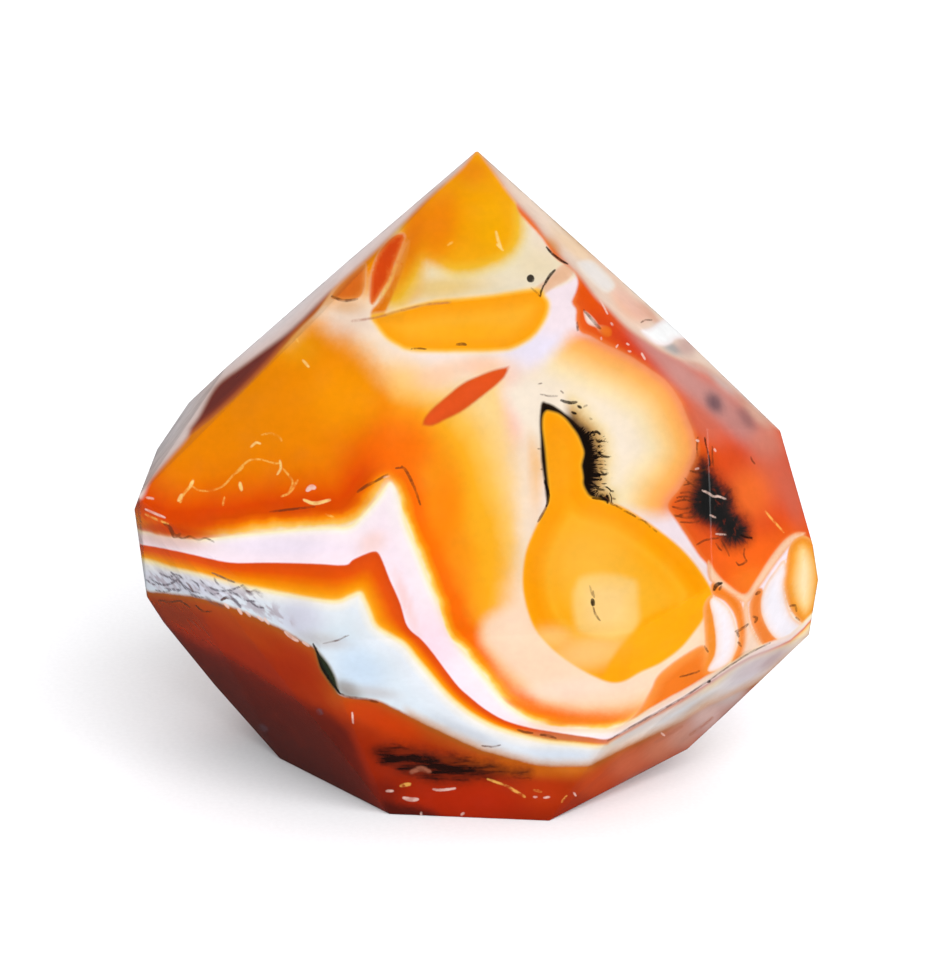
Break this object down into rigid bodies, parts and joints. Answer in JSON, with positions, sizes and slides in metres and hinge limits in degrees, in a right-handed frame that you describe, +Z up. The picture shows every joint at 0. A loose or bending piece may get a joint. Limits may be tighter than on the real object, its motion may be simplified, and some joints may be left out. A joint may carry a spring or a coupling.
{
  "type": "sardonyx freeform",
  "caption": "Polished, faceted banded stone with a blunt point, an undercut lower half and a flat foot that it stands on; a display piece.",
  "frame": {"origin": "on the flat foot, in the plane that rests on the table, under the stone's point as seen from the front", "axes": "+Z up from the foot to the point; +X to the right across the banded show face; -Y out of the show face, towards the viewer"},
  "size_m": [0.0799, 0.064, 0.0747],
  "materials": {
    "sardonyx": "high polish"
  },
  "bodies": {
    "root": {"sardonyx_freeform": "sardonyx"}
  },
  "joints": []
}
